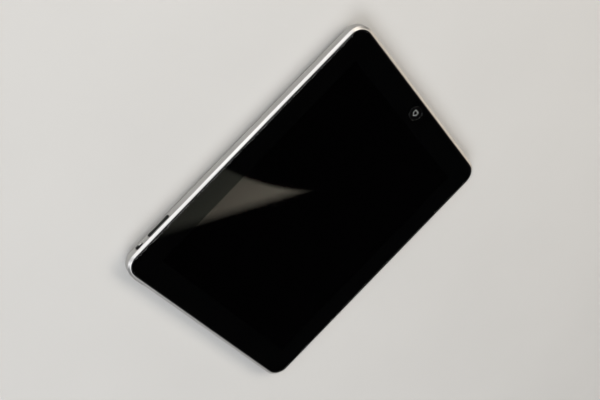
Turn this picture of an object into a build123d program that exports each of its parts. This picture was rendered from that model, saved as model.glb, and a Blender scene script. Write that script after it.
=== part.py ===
from build123d import *
import os
from math import hypot, sqrt

# A tablet computer with a 9.7 inch screen: an aluminium back shell, a glass front, and the
# screen, battery, boards, buttons and sockets between them.
#
# Frame: the tablet lies on its back. The origin is the centre of the flat back, +X points to
# the edge with the volume rocker, +Y to the edge with the sleep button, +Z out of the screen.
# Sizes are in millimetres. An "inset" is a distance in from the outer edge, seen from the front.

# ---- outside -----------------------------------------------------------------------------
WIDTH = 189.7              # X
LENGTH = 242.8             # Y
THICK = 13.4               # flat back to the front of the glass
CORNER = 13.0              # corner radius seen from the front
RIM_TOP = 13.2             # top of the shell's bevelled rim
BEVEL_FOOT = 11.86         # where the bevel meets the side wall
BEVEL_INSET = 1.95         # how far the bevel leans in
RIM_ROUND = 0.9            # round where the bevel meets the rim's narrow top
WALL_FOOT = 6.5            # where the side wall meets the curved back
BACK_INSET = 26.0          # from the side wall to the flat of the back
BACK_CONTROL = 8.0         # inset of the control point of the back's curve
CORNER_GROWTH = 0.25       # growth of the corner radius per mm of inset on the curved back
PILLOW_STEPS = 7           # sections that the curved back is lofted through
EDGE_SOFTENING = 0.25      # round on the long outer edge between wall and bevel

WALL = 2.1                 # thickness of the side wall
CAVITY_FOOT = 6.6          # where the wall's inner face meets the cavity's curved floor
CAVITY_CONTROL = 8.6
FLOOR = 1.4                # thickness of the flat back

# ---- layers of the front, from the glass down ----------------------------------------------
GLASS_BACK = 12.3          # under the cover glass
MASK_BACK = 12.2           # under the black border printed on the glass
GLASS_INSET = 3.15
GLASS_CHAMFER = 0.45       # 45 degree chamfer on the front edge of the glass
FRAME_BACK = 11.5          # under the plastic frame that the glass is bonded to
RING_TOP = 13.25           # top of that frame's visible black lip
RING_OUT = 2.1             # insets of the lip and of the hidden flange
RING_IN = 3.1
FLANGE_IN = 6.0
TOUCH_BACK = 11.75
SCREEN_W = 147.8           # visible picture
SCREEN_L = 197.1
SCREEN_GAP = 0.3           # from the picture to the black border
LCD_W = 162.0
LCD_L = 205.4
LCD_BACK = 7.9
LCD_FRONT = 11.45
TRAY_WALL = 0.4
TRAY_FLOOR = 0.3

# ---- home button ---------------------------------------------------------------------------
HOME_Y = 11.67 - LENGTH / 2
HOME_HOLE = 5.85           # hole radius in the glass
HOME_BEVEL = 0.35
HOME_CAP = 5.6
HOME_CAP_TOP = 13.2
HOME_DISH = 0.42           # depth of the concave face
HOME_FLANGE = 6.4
HOME_SWITCH_TOP = 10.55    # top of the small switch board
DOME_HEIGHT = 0.4
FLEX = 0.15                # thickness of a flexible printed cable

# ---- edge controls ---------------------------------------------------------------------------
EDGE_Z = 9.4               # height of their centres on the side wall
CONTROL_GAP = 0.1          # gap round a control in its slot
ROCKER_Y = 81.6
ROCKER_LENGTH = 20.3
ROCKER_HEIGHT = 2.6
ROCKER_PROUD = 0.9         # at its two ends
ROCKER_SADDLE = 0.4        # how much lower its middle is than its ends
ROCKER_END_GAP = 0.25      # gap at the ends, which swing
PIVOT_INSET = 3.4
PIVOT_R = 0.6
PIVOT_CLEARANCE = 0.04
LOCK_Y = 101.05            # centre of the lock slot
LOCK_Z = 9.6               # height of its centre
LOCK_SLOT = (6.2, 2.2)     # length and height behind the chamfer
LOCK_CHAMFER = 0.5         # round the mouth of the slot
LOCK_KNOB = (3.0, 2.0)
LOCK_TRAVEL = 2.8
LOCK_PROUD = 1.0
LOCK_LIP = 0.8             # thickness of the wall in front of the lock's carrier
LOCK_CARRIER = (10.6, 3.0)
SLEEP_X = 74.85
SLEEP_LENGTH = 10.4
SLEEP_HEIGHT = 2.4
SLEEP_PROUD = 0.6

# ---- sockets -------------------------------------------------------------------------------
JACK_X = -75.0
JACK_Z = 9.1
JACK_BORE = 1.8            # a 3.5 mm plug
JACK_DEPTH = 14.0
MIC_X = -60.0
DOCK_Z = 7.6
DOCK_WIDTH = 24.6
DOCK_HEIGHT = 4.0
DOCK_CONTACTS = 30
SPEAKER_SLOTS = (34.0, 46.0, 58.0)
SPEAKER_Z = 9.0

# ---- boards and battery ----------------------------------------------------------------------
BOARD_X = (56.0, 82.0)
BOARD_Y = (-62.0, 90.0)
BOARD_Z = (3.6, 4.4)
BOARD_POSTS = ((59, -58), (79, -34), (59, 16), (79, 56), (59, 86))
CELL_Z = (1.6, 6.6)
CELL_Y = (-48.0, 56.0)
CELLS_X = ((-64.0, -8.0), (-4.0, 52.0))
CABLE_Z = 7.0              # height of the flat cables that run under the screen

SCREW_GAP = 0.03           # radial gap round a screw's shank

HALF_W = WIDTH / 2
HALF_L = LENGTH / 2
RIGHT_WALL = Plane(origin=(HALF_W, 0, 0), x_dir=(0, 1, 0), z_dir=(1, 0, 0))
TOP_WALL = Plane(origin=(0, HALF_L, 0), x_dir=(-1, 0, 0), z_dir=(0, 1, 0))
BOTTOM_WALL = Plane(origin=(0, -HALF_L, 0), x_dir=(1, 0, 0), z_dir=(0, -1, 0))


# ---- shared shapes ---------------------------------------------------------------------------
def block(x, y, z):
    """Box between the low and high value of each pair."""
    centre = Pos((x[0] + x[1]) / 2, (y[0] + y[1]) / 2, (z[0] + z[1]) / 2)
    return centre * Box(x[1] - x[0], y[1] - y[0], z[1] - z[0])


def around(centre, half):
    """The pair of values `half` either side of `centre`."""
    return (centre - half, centre + half)


def disc(x, y, radius, z):
    """Upright cylinder between the two heights in z."""
    return Pos(x, y, (z[0] + z[1]) / 2) * Cylinder(radius, z[1] - z[0])


def outline(inset, z, corner=None):
    """Rounded rectangle that follows the tablet's edge, `inset` inside it, at height z."""
    radius = CORNER - inset if corner is None else corner
    return Pos(0, 0, z) * RectangleRounded(WIDTH - 2 * inset, LENGTH - 2 * inset, radius)


def slab(inset, z, corner=None):
    """The tablet's outline as a plate between the two heights in z."""
    return extrude(outline(inset, z[0], corner), amount=z[1] - z[0])


def plate(width, length, corner, z):
    """Centred plate with rounded corners between the two heights in z."""
    return extrude(Pos(0, 0, z[0]) * RectangleRounded(width, length, corner), amount=z[1] - z[0])


def bar(wall, along, up, length, height, inset, corner=None):
    """Rounded bar through a wall, between the two insets (a negative one is outside)."""
    radius = height / 2 - 0.01 if corner is None else corner
    face = wall * Pos(along, up, -inset[1]) * RectangleRounded(length, height, radius)
    return extrude(face, amount=inset[1] - inset[0])


def tube(wall, along, up, radius, inset):
    """Cylinder through a wall, between the two insets."""
    face = wall * Pos(along, up, -inset[1]) * Circle(radius)
    return extrude(face, amount=inset[1] - inset[0])


def flare(wall, along, up, size, depth):
    """Chamfered mouth of a slot of this size, cut to this depth."""
    length, height = size
    sections = []
    for inset in (-depth, depth):
        grow = 2 * (depth - inset)
        face = RectangleRounded(length + grow, height + grow, (height + grow) / 2 - 0.01)
        sections.append(wall * Pos(along, up, -inset) * face)
    return loft(sections, ruled=True)


def screw(x, y, seat, head, shank, length):
    """Pan-head screw with a cross recess. `seat` is the height that its head sits on."""
    head_r, head_h = head
    body = disc(x, y, head_r, (seat, seat + head_h))
    body = fillet(body.edges().group_by(Axis.Z)[-1], 0.35 * head_h)
    body += disc(x, y, shank, (seat - length, seat))
    for turn in (0, 90):
        slot = Box(1.1 * head_r, 0.25 * head_r, 0.9 * head_h)
        body -= Pos(x, y, seat + head_h) * Rot(0, 0, turn) * slot
    return body


def bezier(t, a, b, c):
    return a * (1 - t) ** 2 + 2 * b * t * (1 - t) + c * t ** 2


def pillow(edge, control, top, foot):
    """Solid whose side curves from inset `edge` at height `top` to the flat at height `foot`."""
    sections = []
    for step in range(PILLOW_STEPS + 1):
        t = 1 - step / PILLOW_STEPS
        inset = bezier(t, edge, control, BACK_INSET)
        corner = CORNER - edge + CORNER_GROWTH * (inset - edge)
        sections.append(outline(inset, bezier(t, top, foot, foot), corner))
    return loft(sections)


def inset_at(x, y):
    """Inset of the contour of the curved back that passes through this point."""
    low, high = 0.0, BACK_INSET
    while high - low > 0.01:
        inset = (low + high) / 2
        corner = CORNER + CORNER_GROWTH * inset
        past_x = max(abs(x) - (HALF_W - inset - corner), 0)
        past_y = max(abs(y) - (HALF_L - inset - corner), 0)
        if hypot(past_x, past_y) < corner:
            low = inset
        else:
            high = inset
    return low


def skin_middle(inset):
    """Height of the middle of the back's skin at this inset, where a post takes root."""
    a = BACK_INSET - 2 * BACK_CONTROL
    t = (sqrt(BACK_CONTROL ** 2 + a * inset) - BACK_CONTROL) / a
    return WALL_FOOT * (1 - t) ** 2 + FLOOR / 2


def post(x, y, radius, top, screw_r, depth):
    """Threaded post that stands on the back's skin, as the post and the hole in it."""
    body = disc(x, y, radius, (skin_middle(inset_at(x, y)), top))
    return body, disc(x, y, screw_r + SCREW_GAP, (top - depth, top))


def group(solids):
    """Separate solids kept together as one node."""
    pieces = []
    for item in solids:
        pieces.extend(item.solids())
    return Compound(children=pieces)


# ---- posts that carry the inside: x, y, radius, top, screw radius, hole depth -------------------
HOME_POST_X = 16.5
HOME_POST_TOP = 9.75
SIDE_POST_X = 86.5
SIDE_POSTS_Y = (ROCKER_Y - 15.2, ROCKER_Y + 15.2)
SLEEP_POSTS = ((66.0, 112.5), (82.0, 110.0))
EDGE_POST_TOP = 7.0
EDGE_TAB = 0.5             # thickness of the steel brackets' tabs
BOARD_SCREW = ((1.7, 0.7), 0.95, 2.4)        # (head radius, height), shank radius, length
SMALL_SCREW = ((1.5, 0.6), 0.75, 2.9)


def shell_posts():
    posts = [post(x, y, 2.0, BOARD_Z[0], 0.95, 1.9) for x, y in BOARD_POSTS]
    posts += [post(x, HOME_Y, 2.2, HOME_POST_TOP, 0.75, 2.8) for x in (-HOME_POST_X, HOME_POST_X)]
    posts += [post(SIDE_POST_X, y, 1.8, EDGE_POST_TOP, 0.75, 2.6) for y in SIDE_POSTS_Y]
    posts += [post(x, y, 1.8, EDGE_POST_TOP, 0.75, 2.6) for x, y in SLEEP_POSTS]
    return posts


# ---- back shell --------------------------------------------------------------------------------
def shell_openings():
    """Cutters for everything that passes through the side walls."""
    through = (-1.0, WALL + 0.9)
    gap = 2 * CONTROL_GAP
    rocker_slot = (ROCKER_LENGTH + 2 * ROCKER_END_GAP, ROCKER_HEIGHT + gap)
    lock_pocket = (LOCK_CARRIER[0] + LOCK_TRAVEL + gap, LOCK_CARRIER[1] + gap)
    yield bar(RIGHT_WALL, ROCKER_Y, EDGE_Z, *rocker_slot, through)
    yield bar(RIGHT_WALL, LOCK_Y, LOCK_Z, *LOCK_SLOT, through)
    yield flare(RIGHT_WALL, LOCK_Y, LOCK_Z, LOCK_SLOT, LOCK_CHAMFER)
    yield bar(RIGHT_WALL, LOCK_Y, LOCK_Z, *lock_pocket, (LOCK_LIP, through[1]), 0.4)
    yield bar(TOP_WALL, -SLEEP_X, EDGE_Z, SLEEP_LENGTH + gap, SLEEP_HEIGHT + gap, through)
    yield tube(TOP_WALL, -JACK_X, JACK_Z, 2.3, through)
    yield tube(TOP_WALL, -MIC_X, JACK_Z, 0.5, through)
    for x in SPEAKER_SLOTS:
        yield bar(BOTTOM_WALL, x, SPEAKER_Z, 9.0, 2.6, through)
    yield bar(BOTTOM_WALL, 0, DOCK_Z, DOCK_WIDTH + 0.3, DOCK_HEIGHT + 0.2, (-1.0, 5.0), 1.2)


def rear_shell():
    body = pillow(0, BACK_CONTROL, WALL_FOOT, 0) + slab(0, (WALL_FOOT, BEVEL_FOOT))
    body += loft([outline(0, BEVEL_FOOT), outline(BEVEL_INSET, RIM_TOP)], ruled=True)
    shoulder = body.edges().filter_by_position(Axis.Z, BEVEL_FOOT - 0.01, BEVEL_FOOT + 0.01)
    body = fillet(shoulder, EDGE_SOFTENING)
    crest = body.edges().filter_by_position(Axis.Z, RIM_TOP - 0.01, RIM_TOP + 0.01)
    body = fillet(crest, RIM_ROUND)
    body -= pillow(WALL, CAVITY_CONTROL, CAVITY_FOOT, FLOOR)
    body -= slab(WALL, (CAVITY_FOOT, THICK))
    posts = shell_posts()
    for stem, _ in posts:
        body += stem
    for _, hole in posts:
        body -= hole
    for opening in shell_openings():
        body -= opening
    return body


# ---- glass front -------------------------------------------------------------------------------
def cover_glass():
    glass = slab(GLASS_INSET, (GLASS_BACK, THICK))
    glass = chamfer(glass.edges().group_by(Axis.Z)[-1], GLASS_CHAMFER)
    glass -= disc(0, HOME_Y, HOME_HOLE, (GLASS_BACK, THICK))
    bevel = Cone(HOME_HOLE, HOME_HOLE + HOME_BEVEL, HOME_BEVEL)
    return glass - Pos(0, HOME_Y, THICK - HOME_BEVEL / 2) * bevel


def border_mask():
    mask = slab(GLASS_INSET + 0.1, (MASK_BACK, GLASS_BACK))
    window = (SCREEN_W + 2 * SCREEN_GAP, SCREEN_L + 2 * SCREEN_GAP)
    mask -= block(around(0, window[0] / 2), around(0, window[1] / 2), (MASK_BACK, GLASS_BACK))
    mask -= disc(0, HOME_Y, HOME_HOLE + 0.15, (MASK_BACK, GLASS_BACK))
    return mask - disc(0, -HOME_Y, 0.9, (MASK_BACK, GLASS_BACK))


def glass_surround():
    lip = slab(RING_OUT, (FRAME_BACK, RING_TOP)) - slab(RING_IN, (FRAME_BACK, RING_TOP))
    lip = chamfer(lip.edges().group_by(Axis.Z)[-1], 0.12)
    flange = slab(RING_IN, (FRAME_BACK, MASK_BACK)) - slab(FLANGE_IN, (FRAME_BACK, MASK_BACK))
    flange -= disc(0, HOME_Y, HOME_FLANGE + 0.6, (FRAME_BACK, MASK_BACK))
    body = lip + flange
    for x, y in display_screw_places():
        body -= disc(x, y, SMALL_SCREW[1] + SCREW_GAP, (FRAME_BACK, MASK_BACK))
    return body


def panel_clips():
    """Spring clips under the flange that hold the front in the shell."""
    leaf = (3.0, 3.3)
    clips = []
    for y in (-60, 0, 50):
        clips.append(bar(RIGHT_WALL, y, 10.5, 8, 2.0, leaf, 0.3))
    for y in (-60, 0, 50, 95):
        face = bar(RIGHT_WALL, y, 10.5, 8, 2.0, leaf, 0.3)
        clips.append(face.mirror(Plane.YZ))
    for x in (-30, 30):
        clips.append(bar(TOP_WALL, x, 10.5, 8, 2.0, leaf, 0.3))
    for x in (-70, -32):
        clips.append(bar(BOTTOM_WALL, x, 10.5, 8, 2.0, leaf, 0.3))
    return group(clips)


def touch_sensor():
    return plate(154, 203, 1.0, (TOUCH_BACK, MASK_BACK))


# ---- screen ------------------------------------------------------------------------------------
def display_screw_places():
    sides = [(x, y) for x in (-90.3, 90.3) for y in (-88, -30, 28)]
    ends = [(x, y) for x in (-20, 20) for y in (-116.9, 116.9)]
    return sides + ends


def lcd_tabs():
    """Tabs that fasten the screen's tray under the glass's frame."""
    z = (FRAME_BACK - TRAY_WALL, FRAME_BACK)
    for x, y in display_screw_places():
        if abs(y) < LCD_L / 2:
            reach = sorted((x + 2.0 * x / abs(x), (LCD_W / 2 - TRAY_WALL) * x / abs(x)))
            yield block(reach, around(y, 4), z)
        else:
            reach = sorted((y + 2.0 * y / abs(y), (LCD_L / 2 - TRAY_WALL) * y / abs(y)))
            yield block(around(x, 4), reach, z)


def lcd_frame():
    tray = plate(LCD_W, LCD_L, 1.5, (LCD_BACK, FRAME_BACK))
    inside = (LCD_W / 2 - TRAY_WALL, LCD_L / 2 - TRAY_WALL)
    tray -= block(around(0, inside[0]), around(0, inside[1]), (LCD_BACK + TRAY_FLOOR, THICK))
    for tab in lcd_tabs():
        tray += tab
    for x, y in display_screw_places():
        tray -= disc(x, y, SMALL_SCREW[1] + SCREW_GAP, (LCD_BACK, THICK))
    return tray


def display_screws():
    """Screws that go up through the tray's tabs into the glass's frame."""
    head = (1.4, 0.6)
    screws = []
    for x, y in display_screw_places():
        upright = screw(0, 0, 0, head, SMALL_SCREW[1], 1.0)
        screws.append(Pos(x, y, FRAME_BACK - TRAY_WALL) * Rot(180, 0, 0) * upright)
    return group(screws)


PACK_W = LCD_W / 2 - TRAY_WALL - 0.2         # half the width of the layers inside the tray
PACK_L = LCD_L / 2 - TRAY_WALL - 0.2
GUIDE_Z = (LCD_BACK + TRAY_FLOOR, 9.9)
LED_DEPTH = 1.2


def light_guide():
    return block(around(0, PACK_W), (-PACK_L + LED_DEPTH + 0.1, PACK_L), GUIDE_Z)


def backlight_leds():
    strip = block(around(0, PACK_W - 2), (-PACK_L, -PACK_L + 0.4), GUIDE_Z)
    for number in range(24):
        x = (number - 11.5) * 6.4
        strip += block(around(x, 1.9), (-PACK_L + 0.4, -PACK_L + LED_DEPTH), (8.6, 9.4))
    return strip


def diffuser_films():
    sheets = [(9.9, 10.0), (10.03, 10.13), (10.16, 10.3)]
    return group([block(around(0, PACK_W), around(0, PACK_L), z) for z in sheets])


def lcd_cell():
    return block(around(0, PACK_W), around(0, PACK_L), (10.35, LCD_FRONT))


def flat_cable(*runs):
    """Flexible cable made of flat runs that meet face to face or overlap."""
    cable = block(*runs[0])
    for run in runs[1:]:
        cable += block(*run)
    return cable


def display_cable():
    y = (0, 12)
    return flat_cable(
        ((62, 74), y, (LCD_BACK - FLEX, LCD_BACK)),
        ((62, 74), (0, FLEX), (5.6, LCD_BACK)),
        ((62, 74), (-3, FLEX), (5.6, 5.6 + FLEX)),
    )


def touch_cable():
    y = (-6, 18)
    fold = 83.0
    return flat_cable(
        ((76, fold + FLEX), y, (TOUCH_BACK - FLEX, TOUCH_BACK)),
        ((fold, fold + FLEX), y, (5.6, TOUCH_BACK)),
        ((78, fold + FLEX), y, (5.6, 5.6 + FLEX)),
    )


# ---- home button -------------------------------------------------------------------------------
def home_button():
    cap = disc(0, 0, HOME_CAP, (TOUCH_BACK, HOME_CAP_TOP))
    cap = fillet(cap.edges().group_by(Axis.Z)[-1], 0.18)
    flange_z = (TOUCH_BACK, TOUCH_BACK + 0.4)
    cap += disc(0, 0, HOME_FLANGE, flange_z)
    cap += disc(0, 0, 1.2, (HOME_SWITCH_TOP + DOME_HEIGHT, TOUCH_BACK))
    rim = HOME_CAP - 0.45
    ball = (rim ** 2 + HOME_DISH ** 2) / (2 * HOME_DISH)
    cap -= Pos(0, 0, HOME_CAP_TOP - HOME_DISH + ball) * Sphere(ball)
    return Pos(0, HOME_Y, 0) * cap


def home_spring_pad():
    z = (HOME_SWITCH_TOP, TOUCH_BACK)
    return disc(0, HOME_Y, 5.9, z) - disc(0, HOME_Y, 4.3, z)


def home_dome():
    base = disc(0, HOME_Y, 2.6, (HOME_SWITCH_TOP, HOME_SWITCH_TOP + DOME_HEIGHT))
    return fillet(base.edges().group_by(Axis.Z)[-1], 0.35)


def home_switch_board():
    z = (HOME_POST_TOP + 0.4, HOME_SWITCH_TOP)
    return block(around(0, 8), around(HOME_Y, 6.4), z)


def home_bracket():
    z = (HOME_POST_TOP, HOME_POST_TOP + 0.4)
    strap = Pos(0, HOME_Y, z[0]) * RectangleRounded(2 * HOME_POST_X + 5, 9, 2)
    body = extrude(strap, amount=z[1] - z[0])
    for x in (-HOME_POST_X, HOME_POST_X):
        body -= disc(x, HOME_Y, SMALL_SCREW[1] + SCREW_GAP, z)
    return body


def home_screws():
    seat = HOME_POST_TOP + 0.4
    return group([screw(x, HOME_Y, seat, *SMALL_SCREW) for x in (-HOME_POST_X, HOME_POST_X)])


def home_flex():
    back = HOME_Y + 6.4
    level = (7.4, 7.4 + FLEX)
    return flat_cable(
        (around(0, 3), (back, back + FLEX), (level[0], HOME_SWITCH_TOP)),
        (around(0, 3), (back, -96), level),
        ((-3, 61), (-100, -96), level),
        ((57, 61), (-100, -54), level),
        ((57, 61), (-54 - FLEX, -54), (5.6, level[1])),
        ((57, 61), (-54, -51), (5.6, 5.6 + FLEX)),
    )


# ---- volume rocker -----------------------------------------------------------------------------
PIVOT_X = HALF_W - PIVOT_INSET
LIP_INSET = (2.6, 3.2)
SWITCH_PLATE = (3.8, 4.4)  # insets of the bracket's upright plate
EAR_RISE = 1.45            # from the rocker's middle to the middle of each ear
EAR_HALF = 0.2
EAR_Z = (around(EDGE_Z + EAR_RISE, EAR_HALF), around(EDGE_Z - EAR_RISE, EAR_HALF))
HUB_HALF = EAR_RISE - EAR_HALF - 0.05


def volume_rocker():
    face = bar(RIGHT_WALL, ROCKER_Y, EDGE_Z, ROCKER_LENGTH, ROCKER_HEIGHT, (-ROCKER_PROUD, 2.6))
    curve = (ROCKER_LENGTH / 2) ** 2 / (2 * ROCKER_SADDLE)
    middle = HALF_W + ROCKER_PROUD - ROCKER_SADDLE
    face -= disc(middle + curve, ROCKER_Y, curve, around(EDGE_Z, ROCKER_HEIGHT))
    front = face.faces().filter_by(GeomType.CYLINDER).sort_by(SortBy.AREA)[-1]
    face = fillet(front.edges(), 0.4)
    lip = bar(RIGHT_WALL, ROCKER_Y, EDGE_Z, ROCKER_LENGTH + 2.4, 2 * HUB_HALF, LIP_INSET, 0.6)
    hub = disc(PIVOT_X, ROCKER_Y, 1.0, around(EDGE_Z, HUB_HALF))
    bore = disc(PIVOT_X, ROCKER_Y, PIVOT_R + PIVOT_CLEARANCE, around(EDGE_Z, 3))
    return face + lip + hub - bore


def volume_pivot():
    return disc(PIVOT_X, ROCKER_Y, PIVOT_R, around(EDGE_Z, EAR_RISE + EAR_HALF))


def side_bracket():
    """Steel bracket behind the right wall: it holds the pivot, the dome switches and the lock."""
    x = (HALF_W - SWITCH_PLATE[1], HALF_W - SWITCH_PLATE[0])
    plate_z = (EDGE_POST_TOP, EDGE_Z + EAR_RISE + EAR_HALF)
    body = block(x, around(ROCKER_Y, 13.2), plate_z)
    body -= block(x, around(ROCKER_Y, 1.6), (7.2, plate_z[1]))
    tab_z = (EDGE_POST_TOP, EDGE_POST_TOP + EDGE_TAB)
    body += block((SIDE_POST_X - 1.8, x[1]), (SIDE_POSTS_Y[0] - 1.8, ROCKER_Y - 12), tab_z)
    body += block((SIDE_POST_X - 1.8, x[1]), (ROCKER_Y + 12, LOCK_Y + 5.6), tab_z)
    for ear in EAR_Z:
        body += block((x[0], PIVOT_X + 0.75), around(ROCKER_Y, 1.2), ear)
    stay = (x[0] - 0.6, x[0])
    body += block(stay, around(ROCKER_Y, 3), (EAR_Z[1][0], EAR_Z[0][1]))
    body -= disc(PIVOT_X, ROCKER_Y, PIVOT_R + 0.01, around(EDGE_Z, 3))
    for y in SIDE_POSTS_Y:
        body -= disc(SIDE_POST_X, y, SMALL_SCREW[1] + SCREW_GAP, tab_z)
    return body


def volume_domes():
    plate_face = SWITCH_PLATE[0] - FLEX
    domes = []
    for y in (ROCKER_Y - 8, ROCKER_Y + 8):
        dome = tube(RIGHT_WALL, y, EDGE_Z, 1.1, (plate_face - DOME_HEIGHT, plate_face))
        domes.append(fillet(dome.edges().group_by(Axis.X)[-1], 0.3))
    return group(domes)


def side_button_flex():
    x = (HALF_W - SWITCH_PLATE[0], HALF_W - SWITCH_PLATE[0] + FLEX)
    strip = block(x, around(ROCKER_Y, 12.4), (6.45, EDGE_Z + 1.2))
    strip -= block(x, around(ROCKER_Y, 1.6), (7.1, 11.0))
    level = (6.45, 6.45 + FLEX)
    strip += block((77, x[1]), (71, 76), level)
    strip += block((77, 77 + FLEX), (71, 76), (5.6, level[1]))
    return strip + block((74, 77 + FLEX), (71, 76), (5.6, 5.6 + FLEX))


def side_screws():
    seat = EDGE_POST_TOP + EDGE_TAB
    places = [(SIDE_POST_X, y) for y in SIDE_POSTS_Y] + list(SLEEP_POSTS)
    return group([screw(x, y, seat, *SMALL_SCREW) for x, y in places])


# ---- lock slider -------------------------------------------------------------------------------
LOCK_REST_Y = LOCK_Y + LOCK_TRAVEL / 2


def lock_slider():
    """Knob on a carrier that slides behind the wall, with a finger into the switch."""
    carrier_inset = (LOCK_LIP + CONTROL_GAP, LOCK_LIP + CONTROL_GAP + 0.6)
    knob = bar(RIGHT_WALL, LOCK_REST_Y, LOCK_Z, *LOCK_KNOB, (-LOCK_PROUD, carrier_inset[1]), 0.7)
    knob = fillet(knob.edges().group_by(Axis.X)[-1], 0.3)
    carrier = bar(RIGHT_WALL, LOCK_REST_Y, LOCK_Z, *LOCK_CARRIER, carrier_inset, 0.4)
    finger = bar(RIGHT_WALL, LOCK_REST_Y, LOCK_Z, 1.0, 1.0, (carrier_inset[0], 3.9), 0.1)
    return knob + carrier + finger


def lock_switch():
    body = bar(RIGHT_WALL, LOCK_Y + 1.2, 9.35, 7.6, 3.7, (3.0, 6.4), 0.3)
    return body - bar(RIGHT_WALL, LOCK_Y, LOCK_Z, LOCK_TRAVEL + 1.3, 1.3, (3.0, 4.1), 0.1)


# ---- sleep button ------------------------------------------------------------------------------
SLEEP_POST_INSET = 3.4


def sleep_button():
    face = bar(TOP_WALL, -SLEEP_X, EDGE_Z, SLEEP_LENGTH, SLEEP_HEIGHT, (-SLEEP_PROUD, 2.3))
    face = fillet(face.edges().group_by(Axis.Y)[-1], 0.45)
    flange = bar(TOP_WALL, -SLEEP_X, EDGE_Z, SLEEP_LENGTH + 2, 2.8, (2.2, 2.85), 0.5)
    return face + flange + tube(TOP_WALL, -SLEEP_X, EDGE_Z, 0.8, (2.8, SLEEP_POST_INSET))


def sleep_dome():
    inset = (SLEEP_POST_INSET, SLEEP_POST_INSET + DOME_HEIGHT)
    dome = tube(TOP_WALL, -SLEEP_X, EDGE_Z, 1.5, inset)
    return fillet(dome.edges().group_by(Axis.Y)[-1], 0.3)


def sleep_flex():
    y = (HALF_L - 3.8 - FLEX, HALF_L - 3.8)
    level = (6.3, 6.3 + FLEX)
    return flat_cable(
        (around(SLEEP_X, 4), y, (level[0], EDGE_Z + 1.4)),
        (around(SLEEP_X, 2), (88, y[1]), level),
        (around(SLEEP_X, 2), (88, 88 + FLEX), (5.6, level[1])),
        (around(SLEEP_X, 2), (85, 88 + FLEX), (5.6, 5.6 + FLEX)),
    )


def sleep_bracket():
    y = (HALF_L - 4.6, HALF_L - 3.8 - FLEX)
    body = block((67, 82), y, (EDGE_POST_TOP, 11.2))
    tab_z = (EDGE_POST_TOP, EDGE_POST_TOP + EDGE_TAB)
    for x, post_y in SLEEP_POSTS:
        body += block(around(x, 1.9), (post_y - 1.9, y[1]), tab_z)
    body += block((66, 83), (HALF_L - 6, y[1]), tab_z)
    for x, post_y in SLEEP_POSTS:
        body -= disc(x, post_y, SMALL_SCREW[1] + SCREW_GAP, tab_z)
    return body


# ---- headphone socket and microphone -------------------------------------------------------------
JACK_MOUTH = 0.8           # inset of the socket's visible face
JACK_BLOCK = (6.0, 16.0)   # insets of its square body


def headphone_jack():
    nose = tube(TOP_WALL, -JACK_X, JACK_Z, 2.2, (JACK_MOUTH, JACK_BLOCK[0]))
    body = bar(TOP_WALL, -JACK_X, JACK_Z, 6.4, 4.5, JACK_BLOCK, 0.4)
    bore = tube(TOP_WALL, -JACK_X, JACK_Z, JACK_BORE, (0, JACK_MOUTH + JACK_DEPTH))
    return nose + body - bore


def jack_contacts():
    pins = []
    for inset in (7.5, 10.0, 12.5, 14.5):
        pins.append(bar(TOP_WALL, -JACK_X - 3.35, JACK_Z - 0.8, 0.3, 2.4, (inset - 0.5, inset + 0.5), 0.05))
    return group(pins)


def jack_flex():
    y = (HALF_L - 6.0 - FLEX, HALF_L - 6.0)
    level = (CABLE_Z + 0.2, CABLE_Z + 0.2 + FLEX)
    return flat_cable(
        ((-71.8, -57), y, (level[0], 10.9)),
        ((-70, -64), (66, y[1]), level),
        ((-70, 61), (66, 70), level),
        ((61, 61 + FLEX), (66, 70), (5.6, level[1])),
        ((61, 64), (66, 70), (5.6, 5.6 + FLEX)),
    )


def microphone():
    return tube(TOP_WALL, -MIC_X, JACK_Z, 1.8, (4.2, 6.0))


def mic_boot():
    boot = tube(TOP_WALL, -MIC_X, JACK_Z, 1.6, (WALL, 4.2))
    return boot - tube(TOP_WALL, -MIC_X, JACK_Z, 0.6, (WALL, 4.2))


# ---- dock connector ------------------------------------------------------------------------------
DOCK_MOUTH = 1.6
DOCK_REAR = 11.8
DOCK_SKIN = 0.3


def dock_shell():
    inside = (DOCK_WIDTH - 2 * DOCK_SKIN, DOCK_HEIGHT - 2 * DOCK_SKIN)
    depth = (DOCK_MOUTH, DOCK_REAR)
    outer = bar(BOTTOM_WALL, 0, DOCK_Z, DOCK_WIDTH, DOCK_HEIGHT, depth, 1.1)
    return outer - bar(BOTTOM_WALL, 0, DOCK_Z, *inside, depth, 0.8)


def dock_housing():
    body = bar(BOTTOM_WALL, 0, DOCK_Z, DOCK_WIDTH - 0.7, DOCK_HEIGHT - 0.7, (10.4, DOCK_REAR), 0.7)
    return body + bar(BOTTOM_WALL, 0, DOCK_Z, 20.5, 1.0, (3.0, 10.4), 0.2)


def dock_contacts():
    pitch = 0.65
    strips = []
    for number in range(DOCK_CONTACTS):
        x = (number - (DOCK_CONTACTS - 1) / 2) * pitch
        y = (3.4 - HALF_L, 9.8 - HALF_L)
        strips.append(block(around(x, 0.17), y, (DOCK_Z + 0.5, DOCK_Z + 0.6)))
    return group(strips)


def dock_flex():
    level = (CABLE_Z, CABLE_Z + FLEX)
    start = DOCK_REAR - HALF_L
    return flat_cable(
        (around(0, 8), (start, -86), level),
        ((-8, 74), (-94, -86), level),
        ((64, 74), (-94, -57), level),
        ((64, 74), (-57, -57 + FLEX), (5.6, level[1])),
        ((64, 74), (-57, -53), (5.6, 5.6 + FLEX)),
    )


# ---- speaker -------------------------------------------------------------------------------------
SPEAKER_X = (24.0, 66.0)
SPEAKER_Y = (-115.5, -104.5)
SPEAKER_BOX_Z = (4.7, 10.4)
SPEAKER_WALL = 0.8
DRIVERS_X = (35.0, 55.0)
MESH_BACK = WALL + 0.3


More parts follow.
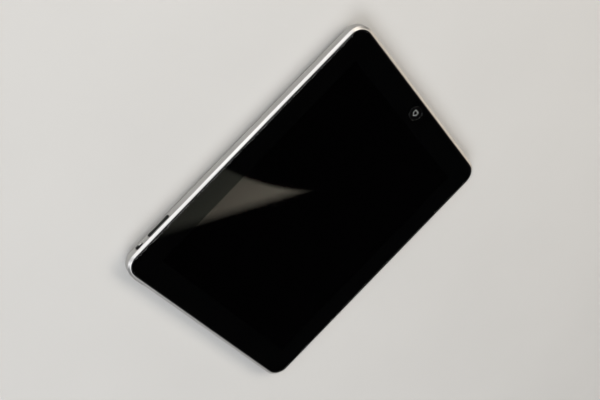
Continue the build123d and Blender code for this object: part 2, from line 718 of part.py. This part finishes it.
def speaker_box():
    body = block(SPEAKER_X, SPEAKER_Y, SPEAKER_BOX_Z)
    body += bar(BOTTOM_WALL, 46, SPEAKER_Z, 35, 3.6, (MESH_BACK, 7), 0.3)
    hollow_z = (SPEAKER_BOX_Z[0] + SPEAKER_WALL, SPEAKER_BOX_Z[1] - SPEAKER_WALL)
    hollow_x = (SPEAKER_X[0] + SPEAKER_WALL, SPEAKER_X[1] - SPEAKER_WALL)
    hollow_y = (SPEAKER_Y[0] + SPEAKER_WALL, SPEAKER_Y[1] - SPEAKER_WALL)
    body -= block(hollow_x, hollow_y, hollow_z)
    body -= bar(BOTTOM_WALL, 46, SPEAKER_Z, 33.6, 2.2, (MESH_BACK, 8), 0.2)
    for x in DRIVERS_X:
        body -= driver(x, 0.1)
    return body


def driver(x, grow):
    """Oval speaker driver let into the top of the box."""
    face = Pos(x, sum(SPEAKER_Y) / 2, 7.2) * SlotOverall(14.6 + 2 * grow, 8.0 + 2 * grow)
    return extrude(face, amount=SPEAKER_BOX_Z[1] - 7.2)


def speaker_drivers():
    return group([driver(x, 0) for x in DRIVERS_X])


def speaker_mesh():
    return bar(BOTTOM_WALL, 46, SPEAKER_Z, 35, 3.6, (WALL, MESH_BACK), 0.3)


# ---- battery -------------------------------------------------------------------------------------
def battery_cells():
    cells = []
    for x in CELLS_X:
        cell = block(x, CELL_Y, CELL_Z)
        cells.append(fillet(cell.edges().filter_by(Axis.Z), 2.0))
    return group(cells)


def battery_adhesive():
    y = (CELL_Y[0] + 2, CELL_Y[1] - 2)
    return group([block((x[0] + 2, x[1] - 2), y, (FLOOR, CELL_Z[0])) for x in CELLS_X])


def battery_frame():
    rim = 2.0
    x = (CELLS_X[0][0] - rim, CELLS_X[1][1] + rim)
    z = (FLOOR, CELL_Z[1] - 0.4)
    body = block(x, (CELL_Y[0] - rim, CELL_Y[1] + rim), z)
    for cell in CELLS_X:
        body -= block((cell[0] - 0.2, cell[1] + 0.2), (CELL_Y[0] - 0.2, CELL_Y[1] + 0.2), z)
    return body


def battery_board():
    base = block((-30, 20), (CELL_Y[1] + 2.5, 66), (2.0, 2.8))
    for x in (-24, -6, 12):
        base += block(around(x, 4), (60, 64), (2.8, 4.2))
    for x in (-26, 16):
        base += block(around(x, 2), (60, 64), (FLOOR, 2.0))
    return base


def battery_cable():
    level = (CELL_Z[1] - 0.6, CELL_Z[1] - 0.6 + FLEX)
    return flat_cable(
        ((8, 16), (60, 64), (4.2, 4.2 + FLEX)),
        ((16, 16 + FLEX), (60, 64), (4.2, level[1])),
        ((16, 58), (60, 64), level),
        ((58, 58 + FLEX), (60, 64), (5.6, level[1])),
        ((58, 61), (60, 64), (5.6, 5.6 + FLEX)),
    )


# ---- logic board ---------------------------------------------------------------------------------
def logic_board():
    board = block(BOARD_X, BOARD_Y, BOARD_Z)
    board = fillet(board.edges().filter_by(Axis.Z), 1.5)
    board -= block((56, 60), (30, 50), BOARD_Z)
    for x, y in BOARD_POSTS:
        board -= disc(x, y, BOARD_SCREW[1] + SCREW_GAP, BOARD_Z)
    return board


def board_screws():
    return group([screw(x, y, BOARD_Z[1], *BOARD_SCREW) for x, y in BOARD_POSTS])


def on_board(x, y, height):
    """Block that stands on the logic board."""
    return block(x, y, (BOARD_Z[1], BOARD_Z[1] + height))


def processor():
    return on_board((63, 77), (30, 44), 1.3) + on_board((64.5, 75.5), (31.5, 42.5), 1.5)


def memory_chips():
    return group([on_board((62, 74), (y, y + 16), 1.0) for y in (-20, -44)])


def shield_can(y):
    """Pressed steel lid over part of the board."""
    skin = 0.3
    can = on_board((61, 80), y, 2.2)
    return can - on_board((61 + skin, 80 - skin), (y[0] + skin, y[1] - skin), 2.2 - skin)


def shield_cans():
    return group([shield_can((19, 28.5)), shield_can((45.5, 52.5))])


def board_connectors():
    """Sockets that the flat cables plug into, each under its cable's end."""
    places = [
        ((62, 74), (-3, -0.5)),
        ((78, 81.5), (-2, 14)),
        ((57, 61), (-53.5, -51)),
        ((64, 74), (-56.5, -53)),
        ((74, 77), (71, 76)),
        ((73, 76.8), (85, 87.5)),
        ((61.5, 64), (66, 70)),
        ((58.5, 61), (60, 64)),
    ]
    return group([on_board(x, y, 1.2) for x, y in places])


# ---- radio and sensors ---------------------------------------------------------------------------
LCD_SIDE = -LCD_W / 2


def wifi_antenna():
    body = block((LCD_SIDE - 5, LCD_SIDE), (-40, 0), (8.4, 9.2))
    return body - block((LCD_SIDE - 3.5, LCD_SIDE - 1.5), (-36, -6), (8.4, 9.2))


def bluetooth_antenna():
    body = block((LCD_SIDE - 5, LCD_SIDE), (16, 44), (8.4, 9.2))
    return body - block((LCD_SIDE - 3.5, LCD_SIDE - 1.5), (20, 40), (8.4, 9.2))


COAX_R = 0.45


def antenna_cable():
    level = 6.6
    corners = [(-83, -20), (-74, -20), (-74, 76), (50, 76), (62, 82)]
    route = FilletPolyline([(x, y, level) for x, y in corners], radius=[4, 6, 6])
    start = Plane(origin=route @ 0, z_dir=route % 0)
    lead = sweep(start * Circle(COAX_R), path=route)
    feed = Pos(-83, -20, (level + 8.4) / 2) * Cylinder(COAX_R * 1.6, 8.4 - level)
    plug = disc(62, 82, 1.1, (BOARD_Z[1], level + COAX_R))
    return feed + lead + plug


def light_sensor():
    carrier = block(around(0, 5), around(-HOME_Y, 2.6), (11.6, 11.8))
    return carrier + block(around(0, 1.3), around(-HOME_Y, 1.3), (11.8, MASK_BACK))


NODES = [
    rear_shell, cover_glass, border_mask, glass_surround, panel_clips, touch_sensor, touch_cable,
    lcd_cell, diffuser_films, light_guide, backlight_leds, lcd_frame, display_screws,
    display_cable, home_button, home_spring_pad, home_dome, home_switch_board, home_bracket,
    home_screws, home_flex, volume_rocker, volume_pivot, volume_domes, side_bracket,
    side_button_flex, side_screws, lock_slider, lock_switch, sleep_button, sleep_dome, sleep_flex,
    sleep_bracket, headphone_jack, jack_contacts, jack_flex, microphone, mic_boot, dock_shell,
    dock_housing, dock_contacts, dock_flex, speaker_box, speaker_drivers, speaker_mesh,
    battery_cells, battery_adhesive, battery_frame, battery_board, battery_cable, logic_board,
    board_screws, processor, memory_chips, shield_cans, board_connectors, wifi_antenna,
    bluetooth_antenna, antenna_cable, light_sensor,
]

os.makedirs("parts", exist_ok=True)
for make in NODES:
    export_step(make(), f"parts/{make.__name__}.step")
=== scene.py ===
from math import cos, pi, radians, sin, sqrt

import bmesh
import bpy
from mathutils import Matrix, Vector


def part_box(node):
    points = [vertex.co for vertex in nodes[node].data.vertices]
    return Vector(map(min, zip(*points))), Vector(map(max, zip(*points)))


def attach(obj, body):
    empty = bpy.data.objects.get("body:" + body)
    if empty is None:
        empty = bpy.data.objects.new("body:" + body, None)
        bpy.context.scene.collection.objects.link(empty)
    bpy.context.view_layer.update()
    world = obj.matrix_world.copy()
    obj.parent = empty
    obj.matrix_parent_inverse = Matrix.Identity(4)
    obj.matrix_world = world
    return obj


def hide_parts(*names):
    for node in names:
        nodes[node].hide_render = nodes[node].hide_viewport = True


# The looks of a 9.7 inch tablet computer: materials for the CAD nodes, the border printed under
# the glass, the mark on the home button, and the studio that the glass and the rim reflect.

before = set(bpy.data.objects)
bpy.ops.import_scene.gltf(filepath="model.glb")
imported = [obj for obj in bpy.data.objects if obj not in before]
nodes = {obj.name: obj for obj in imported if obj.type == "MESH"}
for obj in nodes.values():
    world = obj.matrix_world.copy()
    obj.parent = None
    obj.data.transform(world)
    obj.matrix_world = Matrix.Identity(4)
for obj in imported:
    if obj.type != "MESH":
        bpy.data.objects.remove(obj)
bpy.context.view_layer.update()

MM = 0.001

# ---- places and sizes on the object ------------------------------------------------------------
GLASS_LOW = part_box("cover_glass")[0]
MASK_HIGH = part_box("border_mask")[1]
HOME_LOW, HOME_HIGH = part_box("home_button")
HOME_Y = (HOME_LOW.y + HOME_HIGH.y) / 2

BEVEL_FOOT = 11.86 * MM      # height where the shell's side wall meets its bevelled rim

WINDOW_X = 74.2 * MM         # half the clear window in the printed border
WINDOW_Y = 98.85 * MM
BORDER_CORNER = 9.75 * MM    # radius of the border's outer corners
BORDER_HOLE = 6.0 * MM       # radius of the border's hole round the home button
BORDER_SINK = 0.03 * MM      # how far the border sits inside the glass, so that no air shows
HOLE_SIDES = 96              # straight sides that make up that round hole

DISH_BALL = 31.8 * MM        # radius of the home button's concave face
DISH_DEPTH = 0.42 * MM
INK_LIFT = 0.012 * MM        # how far the mark stands off that face


# ---- node materials ----------------------------------------------------------------------------
def new_material(name):
    """An empty node material: its tree, and the Principled shader that feeds the output."""
    material = bpy.data.materials.new(name)
    material.use_nodes = True
    tree = material.node_tree
    tree.nodes.clear()
    output = tree.nodes.new("ShaderNodeOutputMaterial")
    shader = tree.nodes.new("ShaderNodeBsdfPrincipled")
    tree.links.new(shader.outputs["BSDF"], output.inputs["Surface"])
    return material, tree, shader


def set_values(shader, **values):
    """Sets sockets by name, with underscores for spaces."""
    for name, value in values.items():
        shader.inputs[name.replace("_", " ")].default_value = value


def object_coordinates(tree, stretch=(1, 1, 1)):
    """Metres on the object, with each axis multiplied by `stretch`."""
    coordinates = tree.nodes.new("ShaderNodeTexCoord")
    mapping = tree.nodes.new("ShaderNodeMapping")
    mapping.inputs["Scale"].default_value = stretch
    tree.links.new(coordinates.outputs["Object"], mapping.inputs["Vector"])
    return mapping.outputs["Vector"]


def noise(tree, size, detail=2.0, stretch=(1, 1, 1)):
    """Noise whose features are about `size` metres across."""
    node = tree.nodes.new("ShaderNodeTexNoise")
    node.inputs["Scale"].default_value = 1 / size
    node.inputs["Detail"].default_value = detail
    tree.links.new(object_coordinates(tree, stretch), node.inputs["Vector"])
    return node.outputs["Fac"]


def cells(tree, size, randomness):
    """Distance from the centres of cells about `size` metres across, in cell widths."""
    node = tree.nodes.new("ShaderNodeTexVoronoi")
    node.inputs["Scale"].default_value = 1 / size
    node.inputs["Randomness"].default_value = randomness
    tree.links.new(object_coordinates(tree), node.inputs["Vector"])
    return node.outputs["Distance"]


def ramp(tree, source, low, high, source_range=(0.3, 0.7)):
    """Maps the source's range to values from low to high; the default range suits noise."""
    node = tree.nodes.new("ShaderNodeMapRange")
    node.inputs["From Min"].default_value = source_range[0]
    node.inputs["From Max"].default_value = source_range[1]
    node.inputs["To Min"].default_value = low
    node.inputs["To Max"].default_value = high
    tree.links.new(source, node.inputs["Value"])
    return node.outputs["Result"]


def blend_colours(tree, factor, first, second):
    """The first colour where the factor is 0, the second where it is 1."""
    node = tree.nodes.new("ShaderNodeMix")
    node.data_type = "RGBA"
    node.inputs["A"].default_value = (*first, 1)
    node.inputs["B"].default_value = (*second, 1)
    tree.links.new(factor, node.inputs["Factor"])
    return node.outputs["Result"]


def combine(tree, operation, first, second):
    """Arithmetic on two patterns: ADD or MULTIPLY."""
    node = tree.nodes.new("ShaderNodeMath")
    node.operation = operation
    tree.links.new(first, node.inputs[0])
    tree.links.new(second, node.inputs[1])
    return node.outputs["Value"]


def measure(tree, operation, place, other=None):
    """A number from a vector: its LENGTH, or its DISTANCE or DOT_PRODUCT with a fixed one."""
    node = tree.nodes.new("ShaderNodeVectorMath")
    node.operation = operation
    tree.links.new(place, node.inputs[0])
    if other:
        node.inputs[1].default_value = other
    return node.outputs["Value"]


def axis(tree, place, letter):
    """One coordinate of a vector."""
    node = tree.nodes.new("ShaderNodeSeparateXYZ")
    tree.links.new(place, node.inputs["Vector"])
    return node.outputs[letter]


def bump(tree, shader, height, depth, strength=1.0):
    """Raises the surface by up to `depth` metres where the pattern is bright."""
    node = tree.nodes.new("ShaderNodeBump")
    node.inputs["Distance"].default_value = depth
    node.inputs["Strength"].default_value = strength
    tree.links.new(height, node.inputs["Height"])
    tree.links.new(node.outputs["Normal"], shader.inputs["Normal"])


def finish_surface(tree, shader, factor, first, second, rough):
    """Links a blend of two colours and a roughness to the shader."""
    tree.links.new(blend_colours(tree, factor, first, second), shader.inputs["Base Color"])
    tree.links.new(rough, shader.inputs["Roughness"])


def anodised_aluminium():
    """Bead-blasted, anodised aluminium: fine grain, faint handling marks, a smoother rim."""
    material, tree, shader = new_material("anodised_aluminium")
    set_values(shader, Metallic=1.0)
    cloud = noise(tree, 30 * MM, 3)
    grain = noise(tree, 0.3 * MM, 3)
    marks = noise(tree, 4 * MM, 4, (1, 0.08, 1))
    height = axis(tree, object_coordinates(tree), "Z")
    rim = ramp(tree, height, 0.0, -0.06, (BEVEL_FOOT - 0.2 * MM, BEVEL_FOOT + 0.1 * MM))
    worn = combine(tree, "ADD", ramp(tree, marks, 0.33, 0.40), ramp(tree, grain, -0.02, 0.03))
    finish_surface(tree, shader, ramp(tree, cloud, 0, 1), (0.49, 0.485, 0.48), (0.53, 0.525, 0.52),
                   combine(tree, "ADD", worn, rim))
    bump(tree, shader, grain, 0.012 * MM, 0.6)
    return material


def clear_glass():
    """Toughened cover glass with a faint film of finger marks."""
    material, tree, shader = new_material("cover_glass")
    set_values(shader, Transmission_Weight=1.0, IOR=1.5, Base_Color=(0.97, 0.985, 0.98, 1))
    smears = noise(tree, 20 * MM, 4, (1, 0.5, 1))
    tree.links.new(ramp(tree, smears, 0.0, 0.035, (0.5, 0.8)), shader.inputs["Roughness"])
    return material


def printed_border():
    """Black ink on the back of the glass, seen through it with no air between."""
    material, tree, shader = new_material("printed_border")
    set_values(shader, Specular_IOR_Level=0.0, IOR=1.0)
    speckle = noise(tree, 0.6 * MM, 2)
    finish_surface(tree, shader, ramp(tree, speckle, 0, 1), (0.0016, 0.0016, 0.0017),
                   (0.0026, 0.0026, 0.0028), ramp(tree, speckle, 0.75, 0.9))
    return material


def touch_film():
    """Clear sensor glass with a whisper of its conducting grid, bonded to its neighbours."""
    material, tree, shader = new_material("touch_film")
    set_values(shader, Transmission_Weight=1.0, IOR=1.1, Base_Color=(0.97, 0.96, 0.93, 1))
    grid = noise(tree, 5 * MM, 1)
    tree.links.new(ramp(tree, grid, 0.0, 0.02), shader.inputs["Roughness"])
    return material


def dark_screen():
    """The screen switched off: a black polariser with a warm sheen."""
    material, tree, shader = new_material("dark_screen")
    set_values(shader, IOR=1.6, Specular_Tint=(1.0, 0.55, 0.62, 1))
    pixels = noise(tree, 0.4 * MM, 1)
    finish_surface(tree, shader, ramp(tree, pixels, 0, 1), (0.0003, 0.0003, 0.0004),
                   (0.0006, 0.0006, 0.0006), ramp(tree, pixels, 0.02, 0.04))
    return material


def clear_acrylic():
    """Light guide: clear plastic with rows of tiny printed dots."""
    material, tree, shader = new_material("clear_acrylic")
    set_values(shader, Transmission_Weight=0.9, IOR=1.49)
    dots = ramp(tree, cells(tree, 1.2 * MM, 0.1), 0, 1, (0.2, 0.3))
    finish_surface(tree, shader, dots, (0.95, 0.95, 0.95), (0.85, 0.87, 0.88),
                   ramp(tree, dots, 0.7, 0.08, (0, 1)))
    return material


def woven_mesh():
    """Black steel gauze behind the speaker slots."""
    material, tree, shader = new_material("woven_mesh")
    set_values(shader, Metallic=0.8)
    wires = ramp(tree, cells(tree, 0.45 * MM, 0.0), 0, 1, (0.25, 0.45))
    finish_surface(tree, shader, wires, (0.002, 0.002, 0.002), (0.06, 0.06, 0.062),
                   ramp(tree, wires, 0.9, 0.4, (0, 1)))
    bump(tree, shader, wires, 0.1 * MM)
    return material


def textured(name, dark, light, rough, size, depth, stretch=(1, 1, 1), metallic=0.0, specular=0.5):
    """Opaque finish whose colour, gloss and relief all vary a little.

    `size` is the width of the grain and `depth` its height, in metres. Two scales of noise
    together mix the colours, and the finer one drives the gloss and the relief.
    """
    material, tree, shader = new_material(name)
    set_values(shader, Metallic=metallic, Specular_IOR_Level=specular)
    grain = noise(tree, size, 3, stretch)
    cloud = noise(tree, 12 * size, 2)
    mixed = ramp(tree, combine(tree, "ADD", grain, cloud), 0, 1, (0.7, 1.3))
    finish_surface(tree, shader, mixed, dark, light,
                   ramp(tree, grain, rough - 0.06, rough + 0.06))
    bump(tree, shader, grain, depth, 0.6)
    return material


def paint(materials):
    """Gives each CAD node its material, instead of the plain one that it came with."""
    for material, names in materials:
        for name in names:
            target = nodes[name].data
            target.materials.clear()
            target.materials.append(material)


ALONG_X = (0.08, 1, 1)     # these stretch the grain into lines along one axis
ALONG_Y = (1, 0.08, 1)

paint((
    (anodised_aluminium(), ("rear_shell",)),
    (clear_glass(), ("cover_glass",)),
    (touch_film(), ("touch_sensor",)),
    (dark_screen(), ("lcd_cell",)),
    (clear_acrylic(), ("light_guide",)),
    (woven_mesh(), ("speaker_mesh",)),
    (textured("gasket_black", (0.003, 0.003, 0.0035), (0.005, 0.005, 0.0055), 0.7, 0.3 * MM,
              0.02 * MM, specular=0.12), ("glass_surround",)),
    (textured("button_gloss", (0.0015, 0.0015, 0.0016), (0.0022, 0.0022, 0.0023), 0.16, 0.6 * MM,
              0.002 * MM), ("home_button",)),
    (textured("control_black", (0.0015, 0.0015, 0.0017), (0.0035, 0.0035, 0.0038), 0.38,
              0.25 * MM, 0.01 * MM, specular=0.2),
     ("volume_rocker", "lock_slider", "sleep_button")),
    (textured("socket_black", (0.006, 0.006, 0.006), (0.012, 0.012, 0.012), 0.45, 0.3 * MM,
              0.01 * MM), ("headphone_jack", "dock_housing")),
    (textured("stamped_steel", (0.42, 0.42, 0.41), (0.56, 0.56, 0.55), 0.32, 0.4 * MM, 0.008 * MM,
              ALONG_X, 1.0), ("panel_clips", "home_bracket", "side_bracket", "sleep_bracket",
                              "microphone", "dock_shell", "speaker_drivers", "shield_cans")),
    (textured("screw_steel", (0.30, 0.30, 0.31), (0.44, 0.44, 0.45), 0.28, 0.15 * MM, 0.006 * MM,
              metallic=1.0), ("display_screws", "home_screws", "side_screws", "board_screws",
                              "volume_pivot")),
    (textured("dome_steel", (0.52, 0.52, 0.52), (0.66, 0.66, 0.66), 0.20, 0.3 * MM, 0.004 * MM,
              ALONG_Y, 1.0), ("home_dome", "volume_domes", "sleep_dome")),
    (textured("tray_aluminium", (0.52, 0.53, 0.54), (0.62, 0.63, 0.64), 0.36, 0.5 * MM, 0.01 * MM,
              ALONG_Y, 1.0), ("lcd_frame",)),
    (textured("polyimide", (0.30, 0.10, 0.015), (0.46, 0.17, 0.03), 0.30, 0.5 * MM, 0.02 * MM,
              (1, 0.15, 1)), ("touch_cable", "display_cable", "home_flex", "side_button_flex",
                              "sleep_flex", "jack_flex", "dock_flex", "battery_cable")),
    (textured("solder_mask", (0.004, 0.05, 0.025), (0.01, 0.10, 0.05), 0.34, 0.5 * MM, 0.03 * MM),
     ("home_switch_board", "battery_board", "logic_board")),
    (textured("moulded_black", (0.012, 0.012, 0.013), (0.026, 0.026, 0.027), 0.55, 0.4 * MM,
              0.02 * MM), ("lock_switch", "speaker_box", "battery_frame", "processor",
                           "memory_chips", "board_connectors", "light_sensor")),
    (textured("silicone", (0.10, 0.10, 0.11), (0.16, 0.16, 0.17), 0.65, 0.5 * MM, 0.02 * MM),
     ("home_spring_pad", "mic_boot")),
    (textured("optical_film", (0.78, 0.78, 0.77), (0.88, 0.88, 0.87), 0.5, 0.3 * MM, 0.006 * MM,
              ALONG_X), ("diffuser_films", "backlight_leds")),
    (textured("gold_plate", (0.62, 0.42, 0.14), (0.82, 0.60, 0.24), 0.24, 0.2 * MM, 0.004 * MM,
              ALONG_Y, 1.0), ("jack_contacts", "dock_contacts")),
    (textured("foil_pouch", (0.48, 0.49, 0.50), (0.60, 0.61, 0.62), 0.30, 2.5 * MM, 0.15 * MM,
              metallic=1.0), ("battery_cells",)),
    (textured("foam_tape", (0.015, 0.015, 0.015), (0.04, 0.04, 0.04), 0.9, 0.5 * MM, 0.08 * MM),
     ("battery_adhesive",)),
    (textured("copper_clad", (0.48, 0.22, 0.10), (0.66, 0.34, 0.18), 0.30, 0.5 * MM, 0.01 * MM,
              ALONG_Y, 1.0), ("wifi_antenna", "bluetooth_antenna")),
    (textured("coaxial_jacket", (0.01, 0.01, 0.01), (0.03, 0.03, 0.03), 0.5, 0.3 * MM, 0.02 * MM),
     ("antenna_cable",)),
))


# ---- own pieces --------------------------------------------------------------------------------
def mesh_object(name, build, material, body):
    """A mesh piece from a function that fills a bmesh, riding on a body."""
    mesh = bpy.data.meshes.new(name)
    shape = bmesh.new()
    build(shape)
    bmesh.ops.recalc_face_normals(shape, faces=shape.faces)
    shape.to_mesh(mesh)
    shape.free()
    mesh.materials.append(material)
    piece = bpy.data.objects.new(name, mesh)
    bpy.context.scene.collection.objects.link(piece)
    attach(piece, body)
    return piece


def rounded_loop(half_x, half_y, radius, steps=12):
    """Points of a rounded rectangle about the origin, anticlockwise."""
    points = []
    for quarter, (sx, sy) in enumerate(((1, 1), (-1, 1), (-1, -1), (1, -1))):
        for step in range(steps + 1):
            angle = (quarter + step / steps) * pi / 2
            x = sx * (half_x - radius) + radius * cos(angle)
            y = sy * (half_y - radius) + radius * sin(angle)
            points.append((x, y))
    return points


def build_border(shape):
    """The black border: a rounded rectangle with the screen's window and the button's hole."""
    outer = rounded_loop(MASK_HIGH.x, MASK_HIGH.y, BORDER_CORNER)
    window = [(WINDOW_X, WINDOW_Y), (-WINDOW_X, WINDOW_Y), (-WINDOW_X, -WINDOW_Y),
              (WINDOW_X, -WINDOW_Y)]
    angles = [2 * pi * i / HOLE_SIDES for i in range(HOLE_SIDES)]
    hole = [(BORDER_HOLE * cos(angle), HOME_Y + BORDER_HOLE * sin(angle)) for angle in angles]
    edges = []
    for loop in (outer, window, hole):
        verts = [shape.verts.new((x, y, GLASS_LOW.z + BORDER_SINK)) for x, y in loop]
        edges += [shape.edges.new((verts[i], verts[i - 1])) for i in range(len(verts))]
    bmesh.ops.triangle_fill(shape, edges=edges, use_beauty=True)


def build_house(shape):
    """The outline of a house, as a line of even width that follows the button's hollow face."""
    half_width, wall, eaves, ridge = 2.0 * MM, 1.85 * MM, 0.75 * MM, 2.4 * MM
    half_line = 0.16 * MM
    outline = [(-half_width, -wall), (half_width, -wall), (half_width, eaves), (0, ridge),
               (-half_width, eaves)]
    floor = HOME_HIGH.z - DISH_DEPTH + INK_LIFT
    count = len(outline)
    rings = []
    for offset in (-half_line, half_line):
        ring = []
        for i in range(count):
            before, here, after = (Vector(outline[(i + k) % count]) for k in (-1, 0, 1))
            n1 = Vector(((here - before).y, -(here - before).x)).normalized()
            n2 = Vector(((after - here).y, -(after - here).x)).normalized()
            corner = (n1 + n2).normalized()
            point = here + corner * offset / corner.dot(n1)
            rise = DISH_BALL - sqrt(DISH_BALL ** 2 - point.length_squared)
            ring.append(shape.verts.new((point.x, HOME_Y + point.y, floor + rise)))
        rings.append(ring)
    for i in range(count):
        j = (i + 1) % count
        shape.faces.new((rings[0][i], rings[0][j], rings[1][j], rings[1][i]))


border = mesh_object("printed_border", build_border, printed_border(), "case")
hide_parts("border_mask")

pale_ink = textured("pale_ink", (0.60, 0.60, 0.60), (0.72, 0.72, 0.72), 0.5, 0.2 * MM, 0.004 * MM)
mesh_object("home_mark", build_house, pale_ink, "home")


# ---- studio ------------------------------------------------------------------------------------
CAMERA_PLACE = (0.4128, 0.0004, 0.4922)
CAMERA_TARGET = (0.0228, -0.0002, 0.0134)
CAMERA_ROLL = 134.0          # degrees
CAMERA_LENS = 49.4           # millimetres, on a sensor 36 mm wide

HORIZON_COLOUR = (0.73, 0.72, 0.70)
OVERHEAD_COLOUR = (0.003, 0.003, 0.0035)
SKY_FADE = (0.08, 0.36)      # sines of the elevations between which one turns into the other

FLOOR_HALF = 2.2
FLOOR_FADE = (0.5, 1.0)      # distances from the tablet between which the floor fades out

# The card hangs high on the far side of the tablet from the camera, and shows only as the pale
# wedge in the glass. It is clear within a circle and beyond a straight line, and lit elsewhere.
CARD_CORNERS = ((-1.02, -0.10), (-0.60, 0.46))
CARD_HEIGHT = 1.2
CARD_COLOUR = (1.0, 1.03, 0.82, 1)
CARD_ENDS = (-0.70, -0.92)   # x at its near and far end
CARD_GLOW = (0.29, 0.72)     # strength at those ends
CARD_CIRCLE = (-0.564, -0.583)
CARD_RADIUS = 0.663
CARD_EDGE = 0.012            # width of the circle's crisp edge
CARD_LINE = (-0.949, -0.039)            # a point of the line
CARD_NORMAL = (0.817, -0.577)           # points from the line to the lit side
CARD_SOFTNESS = (-0.004, 0.026)         # the soft edge's limits, along that normal

LIT_POINT = (0, 0, 0.007)    # the tablet's middle, which the softboxes face
STRIP_POINT = (0, -0.12, 0.013)         # the rim at the home button's end


def aim(thing, place, target, roll=0.0):
    """Points a lamp or camera at a target, with its X axis level and then rolled, in degrees."""
    forward = (Vector(target) - Vector(place)).normalized()
    side = forward.cross(Vector((0, 0, 1))).normalized()
    up = side.cross(forward)
    turn = radians(roll)
    right = side * cos(turn) + up * sin(turn)
    rise = up * cos(turn) - side * sin(turn)
    matrix = Matrix((right, rise, -forward)).transposed().to_4x4()
    matrix.translation = place
    thing.matrix_world = matrix


def softbox(name, place, target, size, power, colour=(1, 1, 1)):
    """A rectangular lamp: its size in metres and its power in watts."""
    light = bpy.data.lights.new(name, "AREA")
    light.shape = "RECTANGLE"
    light.size, light.size_y = size
    light.energy = power
    light.color = colour
    lamp = bpy.data.objects.new(name, light)
    bpy.context.scene.collection.objects.link(lamp)
    aim(lamp, place, target)


def studio_camera():
    """Looks at the tablet as the photograph does."""
    optics = bpy.data.cameras.new("camera")
    optics.sensor_width = 36.0
    optics.lens = CAMERA_LENS
    optics.clip_start = 0.01
    camera = bpy.data.objects.new("camera", optics)
    bpy.context.scene.collection.objects.link(camera)
    aim(camera, CAMERA_PLACE, CAMERA_TARGET, CAMERA_ROLL)
    bpy.context.scene.camera = camera


def studio_world():
    """Soft light from low all round, dark overhead so that the glass stays black."""
    world = bpy.data.worlds.new("studio")
    bpy.context.scene.world = world
    world.use_nodes = True
    tree = world.node_tree
    tree.nodes.clear()
    output = tree.nodes.new("ShaderNodeOutputWorld")
    background = tree.nodes.new("ShaderNodeBackground")
    coordinates = tree.nodes.new("ShaderNodeTexCoord")
    sine = axis(tree, coordinates.outputs["Generated"], "Z")
    fade = ramp(tree, sine, 0.0, 1.0, SKY_FADE)
    tree.links.new(blend_colours(tree, fade, HORIZON_COLOUR, OVERHEAD_COLOUR),
                   background.inputs["Color"])
    tree.links.new(background.outputs["Background"], output.inputs["Surface"])


def studio_mesh(name, low, high, z, material):
    """A level rectangle that belongs to the studio, not to the object."""
    mesh = bpy.data.meshes.new(name)
    shape = bmesh.new()
    corners = ((low[0], low[1]), (high[0], low[1]), (high[0], high[1]), (low[0], high[1]))
    shape.faces.new([shape.verts.new((x, y, z)) for x, y in corners])
    shape.to_mesh(mesh)
    shape.free()
    mesh.materials.append(material)
    piece = bpy.data.objects.new(name, mesh)
    bpy.context.scene.collection.objects.link(piece)
    return piece


def floor_paper():
    """Pale paper that fades into the background before the lamps' light falls off."""
    material, tree, shader = new_material("studio_floor")
    reach = measure(tree, "LENGTH", object_coordinates(tree))
    tree.links.new(ramp(tree, reach, 1, 0, FLOOR_FADE), shader.inputs["Alpha"])
    cloud = noise(tree, 0.15, 3)
    finish_surface(tree, shader, ramp(tree, cloud, 0, 1), (0.67, 0.67, 0.66), (0.69, 0.69, 0.68),
                   ramp(tree, cloud, 0.75, 0.85))
    return material


def glowing_card():
    """Emission where the card is lit, brighter away from the tablet, and clear elsewhere."""
    material = bpy.data.materials.new("reflector_card")
    material.use_nodes = True
    tree = material.node_tree
    tree.nodes.clear()
    output = tree.nodes.new("ShaderNodeOutputMaterial")
    glow = tree.nodes.new("ShaderNodeEmission")
    glow.inputs["Color"].default_value = CARD_COLOUR
    place = object_coordinates(tree)
    reach = measure(tree, "DISTANCE", place, (*CARD_CIRCLE, CARD_HEIGHT))
    crisp = ramp(tree, reach, 0, 1, (CARD_RADIUS, CARD_RADIUS + CARD_EDGE))
    across = measure(tree, "DOT_PRODUCT", place, (*CARD_NORMAL, 0))
    line = CARD_LINE[0] * CARD_NORMAL[0] + CARD_LINE[1] * CARD_NORMAL[1]
    soft = ramp(tree, across, 0, 1, (line + CARD_SOFTNESS[0], line + CARD_SOFTNESS[1]))
    rising = ramp(tree, axis(tree, place, "X"), CARD_GLOW[0], CARD_GLOW[1], CARD_ENDS)
    tree.links.new(rising, glow.inputs["Strength"])
    clear = tree.nodes.new("ShaderNodeBsdfTransparent")
    mix = tree.nodes.new("ShaderNodeMixShader")
    tree.links.new(combine(tree, "MULTIPLY", crisp, soft), mix.inputs["Fac"])
    tree.links.new(clear.outputs["BSDF"], mix.inputs[1])
    tree.links.new(glow.outputs["Emission"], mix.inputs[2])
    tree.links.new(mix.outputs["Shader"], output.inputs["Surface"])
    return material


studio_camera()
studio_world()
studio_mesh("studio_floor", (-FLOOR_HALF, -FLOOR_HALF), (FLOOR_HALF, FLOOR_HALF), -0.02 * MM,
            floor_paper())
card = studio_mesh("reflector_card", *CARD_CORNERS, CARD_HEIGHT, glowing_card())
card.visible_camera = False

softbox("key", (1.15, 0.02, 1.22), LIT_POINT, (1.4, 1.2), 11)
softbox("left", (0.15, -1.27, 1.50), LIT_POINT, (2.2, 0.95), 21, (1.0, 0.92, 0.82))
softbox("right", (-0.1, 1.25, 1.60), LIT_POINT, (2.4, 1.3), 24, (0.97, 0.98, 1.0))
softbox("strip", (-0.80, -1.05, 0.16), STRIP_POINT, (0.9, 0.3), 0.9, (1.0, 0.80, 0.56))

bpy.context.scene.view_settings.view_transform = "Standard"
